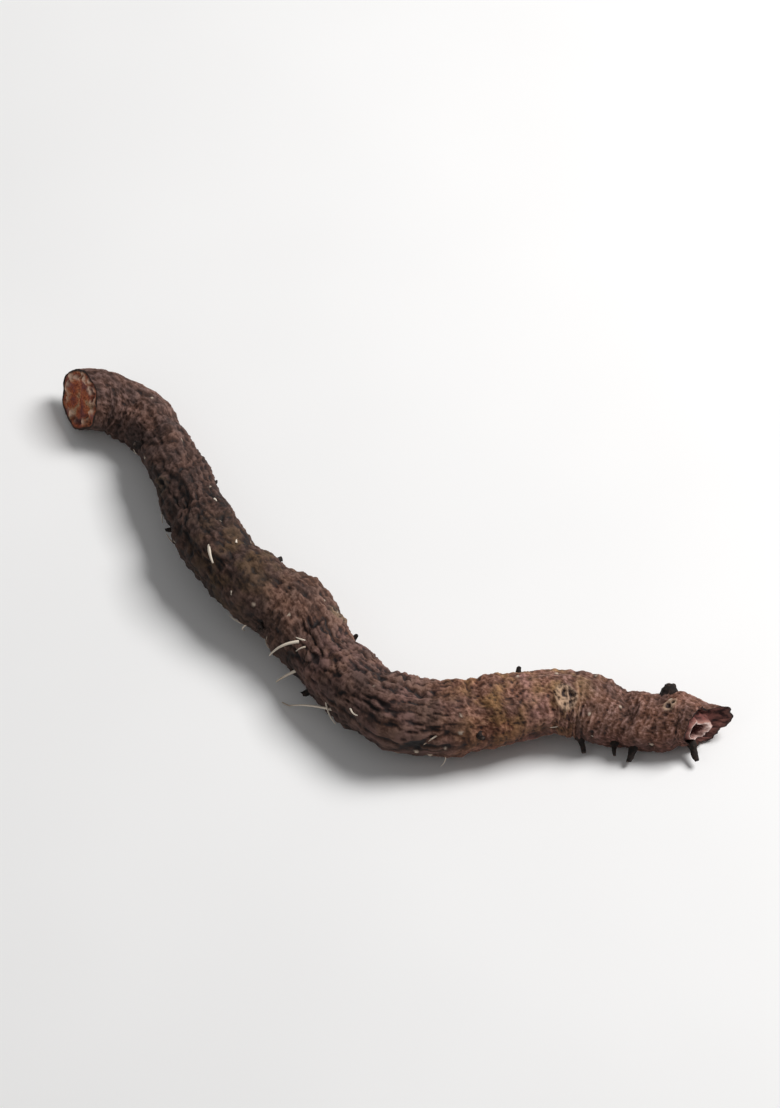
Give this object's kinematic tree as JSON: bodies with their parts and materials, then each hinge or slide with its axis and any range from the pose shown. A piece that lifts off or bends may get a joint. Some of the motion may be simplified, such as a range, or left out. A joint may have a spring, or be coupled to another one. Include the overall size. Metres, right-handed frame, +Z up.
{
  "type": "bistort root",
  "caption": "Dried bistort rhizome: an S-bent, finely ringed brown stem with root scars and rootlet stubs, cut clean across at one end and broken off aslant at the other, with a lipped hollow.",
  "frame": {"origin": "on the table, under the middle of the root's box", "axes": "+X along the root's longest extent, from the cut end towards the broken tip; +Z up from the table"},
  "size_m": [0.0988, 0.073, 0.0112],
  "materials": {
    "bark": "matt, wrinkled dry bark"
  },
  "bodies": {
    "root": {"bistort_root": "bark"}
  },
  "joints": []
}
